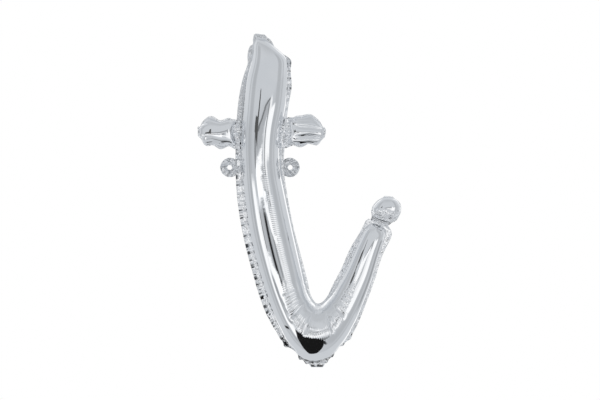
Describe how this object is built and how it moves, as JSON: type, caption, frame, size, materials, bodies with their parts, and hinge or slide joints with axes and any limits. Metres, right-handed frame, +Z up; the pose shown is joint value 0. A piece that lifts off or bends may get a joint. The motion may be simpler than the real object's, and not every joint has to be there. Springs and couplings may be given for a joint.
{
  "type": "letter foil balloon",
  "caption": "Silver foil balloon in the shape of a handwritten letter t, with a sealed flange round its edge, hang tabs at the sides of the stem and a filling tail folded up behind the bowl.",
  "frame": {"origin": "half way between the holes of the hang tabs, on the plane of the seal between the front and back films", "axes": "+X to the letter's right as it is read, +Y away from its front, +Z up the letter"},
  "size_m": [0.2181, 0.0578, 0.3574],
  "materials": {
    "silver_foil": "mirror-bright metallised plastic film",
    "clear_valve_film": "clear polyethylene film"
  },
  "bodies": {
    "envelope": {"stroke_front_film": "silver_foil", "stroke_back_film": "silver_foil", "crossbar_left_front_film": "silver_foil", "crossbar_left_back_film": "silver_foil", "crossbar_right_front_film": "silver_foil", "crossbar_right_back_film": "silver_foil", "end_knob_front_film": "silver_foil", "end_knob_back_film": "silver_foil"},
    "left_tab": {"hang_tab_left": "silver_foil"},
    "right_tab": {"hang_tab_right": "silver_foil"},
    "filling_tail": {"tail_front_ply": "silver_foil", "tail_back_ply": "silver_foil", "valve_film": "clear_valve_film"}
  },
  "joints": [
    {"name": "left_tab_fold", "type": "hinge", "parent": "envelope", "child": "left_tab", "pos_m": [-0.027, 0, 0], "axis": [0, 0, 1], "range_deg": [-80, 80], "stiffness_Nm_per_rad": 0.00005},
    {"name": "right_tab_fold", "type": "hinge", "parent": "envelope", "child": "right_tab", "pos_m": [0.028, 0, 0], "axis": [0, 0, 1], "range_deg": [-80, 80], "stiffness_Nm_per_rad": 0.00005},
    {"name": "tail_fold", "type": "hinge", "parent": "envelope", "child": "filling_tail", "pos_m": [0.061, 0, -0.2142], "axis": [-1, 0, 0], "range_deg": [0, 119]}
  ]
}
